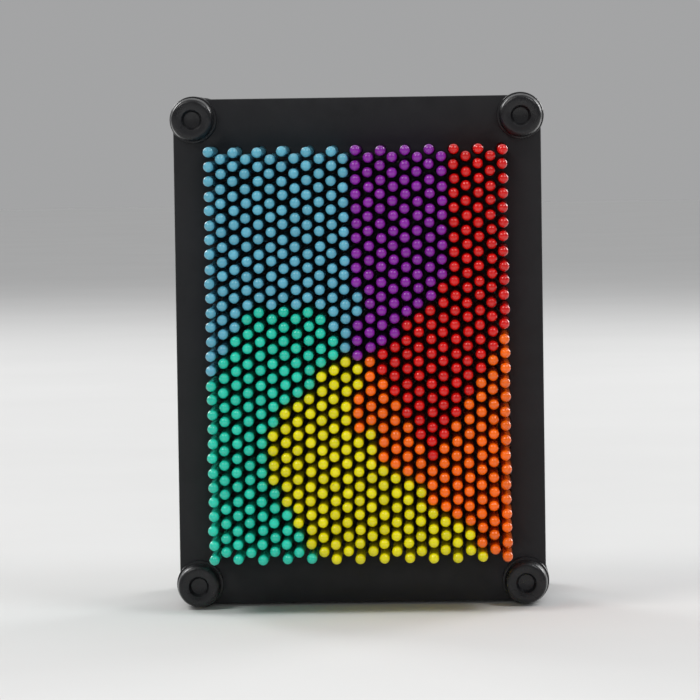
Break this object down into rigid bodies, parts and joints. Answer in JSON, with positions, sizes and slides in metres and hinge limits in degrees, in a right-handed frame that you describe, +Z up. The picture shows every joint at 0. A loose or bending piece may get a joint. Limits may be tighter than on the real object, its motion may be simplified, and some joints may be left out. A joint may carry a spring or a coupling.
{
  "type": "pin art impression toy",
  "caption": "Hand-sized tray of loose coloured pins in a honeycomb bed: pressing the rounded tips from behind raises a relief picture under a clear plate on corner posts.",
  "frame": {"origin": "centre of the bounding box at the bottom, where the upright toy stands on its corner rings", "axes": "+Z up, +X across the toy, pins slide along +Y from the touch side (-Y) to the clear viewing plate (+Y)"},
  "size_m": [0.0914, 0.0734, 0.1255],
  "materials": {
    "clear_plate": "clear moulded plate, polished edges",
    "black_tray": "satin black moulded plastic",
    "black_fittings": "semi-gloss black moulded plastic",
    "steel_stud": "plain steel thread",
    "pin_blue": "glossy, slightly translucent moulded plastic",
    "pin_purple": "glossy, slightly translucent moulded plastic",
    "pin_red": "glossy, slightly translucent moulded plastic",
    "pin_orange": "glossy, slightly translucent moulded plastic",
    "pin_yellow": "glossy, slightly translucent moulded plastic",
    "pin_green": "glossy, slightly translucent moulded plastic"
  },
  "bodies": {
    "frame": {"clear_plate": "clear_plate", "front_guide_plate": "black_tray", "rear_guide_plate": "black_tray", "side_wall_left": "black_tray", "side_wall_right": "black_tray", "end_wall_bottom": "black_tray", "end_wall_top": "black_tray", "corner_sleeve_lower_left": "black_tray", "corner_sleeve_lower_right": "black_tray", "corner_sleeve_upper_left": "black_tray", "corner_sleeve_upper_right": "black_tray", "post_lower_left": "black_fittings", "post_lower_right": "black_fittings", "post_upper_left": "black_fittings", "post_upper_right": "black_fittings", "front_knob_lower_left": "black_fittings", "front_knob_lower_right": "black_fittings", "front_knob_upper_left": "black_fittings", "front_knob_upper_right": "black_fittings", "rear_knob_lower_left": "black_fittings", "rear_knob_lower_right": "black_fittings", "rear_knob_upper_left": "black_fittings", "rear_knob_upper_right": "black_fittings", "tie_studs": "steel_stud"},
    "pins_blue_1": {"pins_blue_1": "pin_blue"},
    "pins_blue_2": {"pins_blue_2": "pin_blue"},
    "pins_blue_3": {"pins_blue_3": "pin_blue"},
    "pins_blue_4": {"pins_blue_4": "pin_blue"},
    "pins_blue_5": {"pins_blue_5": "pin_blue"},
    "pins_purple_1": {"pins_purple_1": "pin_purple"},
    "pins_purple_2": {"pins_purple_2": "pin_purple"},
    "pins_purple_3": {"pins_purple_3": "pin_purple"},
    "pins_purple_4": {"pins_purple_4": "pin_purple"},
    "pins_red_1": {"pins_red_1": "pin_red"},
    "pins_red_2": {"pins_red_2": "pin_red"},
    "pins_red_3": {"pins_red_3": "pin_red"},
    "pins_red_4": {"pins_red_4": "pin_red"},
    "pins_red_5": {"pins_red_5": "pin_red"},
    "pins_orange_1": {"pins_orange_1": "pin_orange"},
    "pins_orange_2": {"pins_orange_2": "pin_orange"},
    "pins_orange_3": {"pins_orange_3": "pin_orange"},
    "pins_orange_4": {"pins_orange_4": "pin_orange"},
    "pins_yellow_1": {"pins_yellow_1": "pin_yellow"},
    "pins_yellow_2": {"pins_yellow_2": "pin_yellow"},
    "pins_yellow_3": {"pins_yellow_3": "pin_yellow"},
    "pins_yellow_4": {"pins_yellow_4": "pin_yellow"},
    "pins_yellow_5": {"pins_yellow_5": "pin_yellow"},
    "pins_green_1": {"pins_green_1": "pin_green"},
    "pins_green_2": {"pins_green_2": "pin_green"},
    "pins_green_3": {"pins_green_3": "pin_green"},
    "pins_green_4": {"pins_green_4": "pin_green"},
    "pins_green_5": {"pins_green_5": "pin_green"},
    "pins_green_6": {"pins_green_6": "pin_green"}
  },
  "joints": [
    {"name": "slide_blue_1", "type": "slide", "parent": "frame", "child": "pins_blue_1", "axis": [0, 1, 0], "range_m": [0, 0.0225]},
    {"name": "slide_blue_2", "type": "slide", "parent": "frame", "child": "pins_blue_2", "axis": [0, 1, 0], "range_m": [0, 0.0225]},
    {"name": "slide_blue_3", "type": "slide", "parent": "frame", "child": "pins_blue_3", "axis": [0, 1, 0], "range_m": [0, 0.0225]},
    {"name": "slide_blue_4", "type": "slide", "parent": "frame", "child": "pins_blue_4", "axis": [0, 1, 0], "range_m": [0, 0.0225]},
    {"name": "slide_blue_5", "type": "slide", "parent": "frame", "child": "pins_blue_5", "axis": [0, 1, 0], "range_m": [0, 0.0225]},
    {"name": "slide_purple_1", "type": "slide", "parent": "frame", "child": "pins_purple_1", "axis": [0, 1, 0], "range_m": [0, 0.0225]},
    {"name": "slide_purple_2", "type": "slide", "parent": "frame", "child": "pins_purple_2", "axis": [0, 1, 0], "range_m": [0, 0.0225]},
    {"name": "slide_purple_3", "type": "slide", "parent": "frame", "child": "pins_purple_3", "axis": [0, 1, 0], "range_m": [0, 0.0225]},
    {"name": "slide_purple_4", "type": "slide", "parent": "frame", "child": "pins_purple_4", "axis": [0, 1, 0], "range_m": [0, 0.0225]},
    {"name": "slide_red_1", "type": "slide", "parent": "frame", "child": "pins_red_1", "axis": [0, 1, 0], "range_m": [0, 0.0225]},
    {"name": "slide_red_2", "type": "slide", "parent": "frame", "child": "pins_red_2", "axis": [0, 1, 0], "range_m": [0, 0.0225]},
    {"name": "slide_red_3", "type": "slide", "parent": "frame", "child": "pins_red_3", "axis": [0, 1, 0], "range_m": [0, 0.0225]},
    {"name": "slide_red_4", "type": "slide", "parent": "frame", "child": "pins_red_4", "axis": [0, 1, 0], "range_m": [0, 0.0225]},
    {"name": "slide_red_5", "type": "slide", "parent": "frame", "child": "pins_red_5", "axis": [0, 1, 0], "range_m": [0, 0.0225]},
    {"name": "slide_orange_1", "type": "slide", "parent": "frame", "child": "pins_orange_1", "axis": [0, 1, 0], "range_m": [0, 0.0225]},
    {"name": "slide_orange_2", "type": "slide", "parent": "frame", "child": "pins_orange_2", "axis": [0, 1, 0], "range_m": [0, 0.0225]},
    {"name": "slide_orange_3", "type": "slide", "parent": "frame", "child": "pins_orange_3", "axis": [0, 1, 0], "range_m": [0, 0.0225]},
    {"name": "slide_orange_4", "type": "slide", "parent": "frame", "child": "pins_orange_4", "axis": [0, 1, 0], "range_m": [0, 0.0225]},
    {"name": "slide_yellow_1", "type": "slide", "parent": "frame", "child": "pins_yellow_1", "axis": [0, 1, 0], "range_m": [0, 0.0225]},
    {"name": "slide_yellow_2", "type": "slide", "parent": "frame", "child": "pins_yellow_2", "axis": [0, 1, 0], "range_m": [0, 0.0225]},
    {"name": "slide_yellow_3", "type": "slide", "parent": "frame", "child": "pins_yellow_3", "axis": [0, 1, 0], "range_m": [0, 0.0225]},
    {"name": "slide_yellow_4", "type": "slide", "parent": "frame", "child": "pins_yellow_4", "axis": [0, 1, 0], "range_m": [0, 0.0225]},
    {"name": "slide_yellow_5", "type": "slide", "parent": "frame", "child": "pins_yellow_5", "axis": [0, 1, 0], "range_m": [0, 0.0225]},
    {"name": "slide_green_1", "type": "slide", "parent": "frame", "child": "pins_green_1", "axis": [0, 1, 0], "range_m": [0, 0.0225]},
    {"name": "slide_green_2", "type": "slide", "parent": "frame", "child": "pins_green_2", "axis": [0, 1, 0], "range_m": [0, 0.0225]},
    {"name": "slide_green_3", "type": "slide", "parent": "frame", "child": "pins_green_3", "axis": [0, 1, 0], "range_m": [0, 0.0225]},
    {"name": "slide_green_4", "type": "slide", "parent": "frame", "child": "pins_green_4", "axis": [0, 1, 0], "range_m": [0, 0.0225]},
    {"name": "slide_green_5", "type": "slide", "parent": "frame", "child": "pins_green_5", "axis": [0, 1, 0], "range_m": [0, 0.0225]},
    {"name": "slide_green_6", "type": "slide", "parent": "frame", "child": "pins_green_6", "axis": [0, 1, 0], "range_m": [0, 0.0225]}
  ]
}
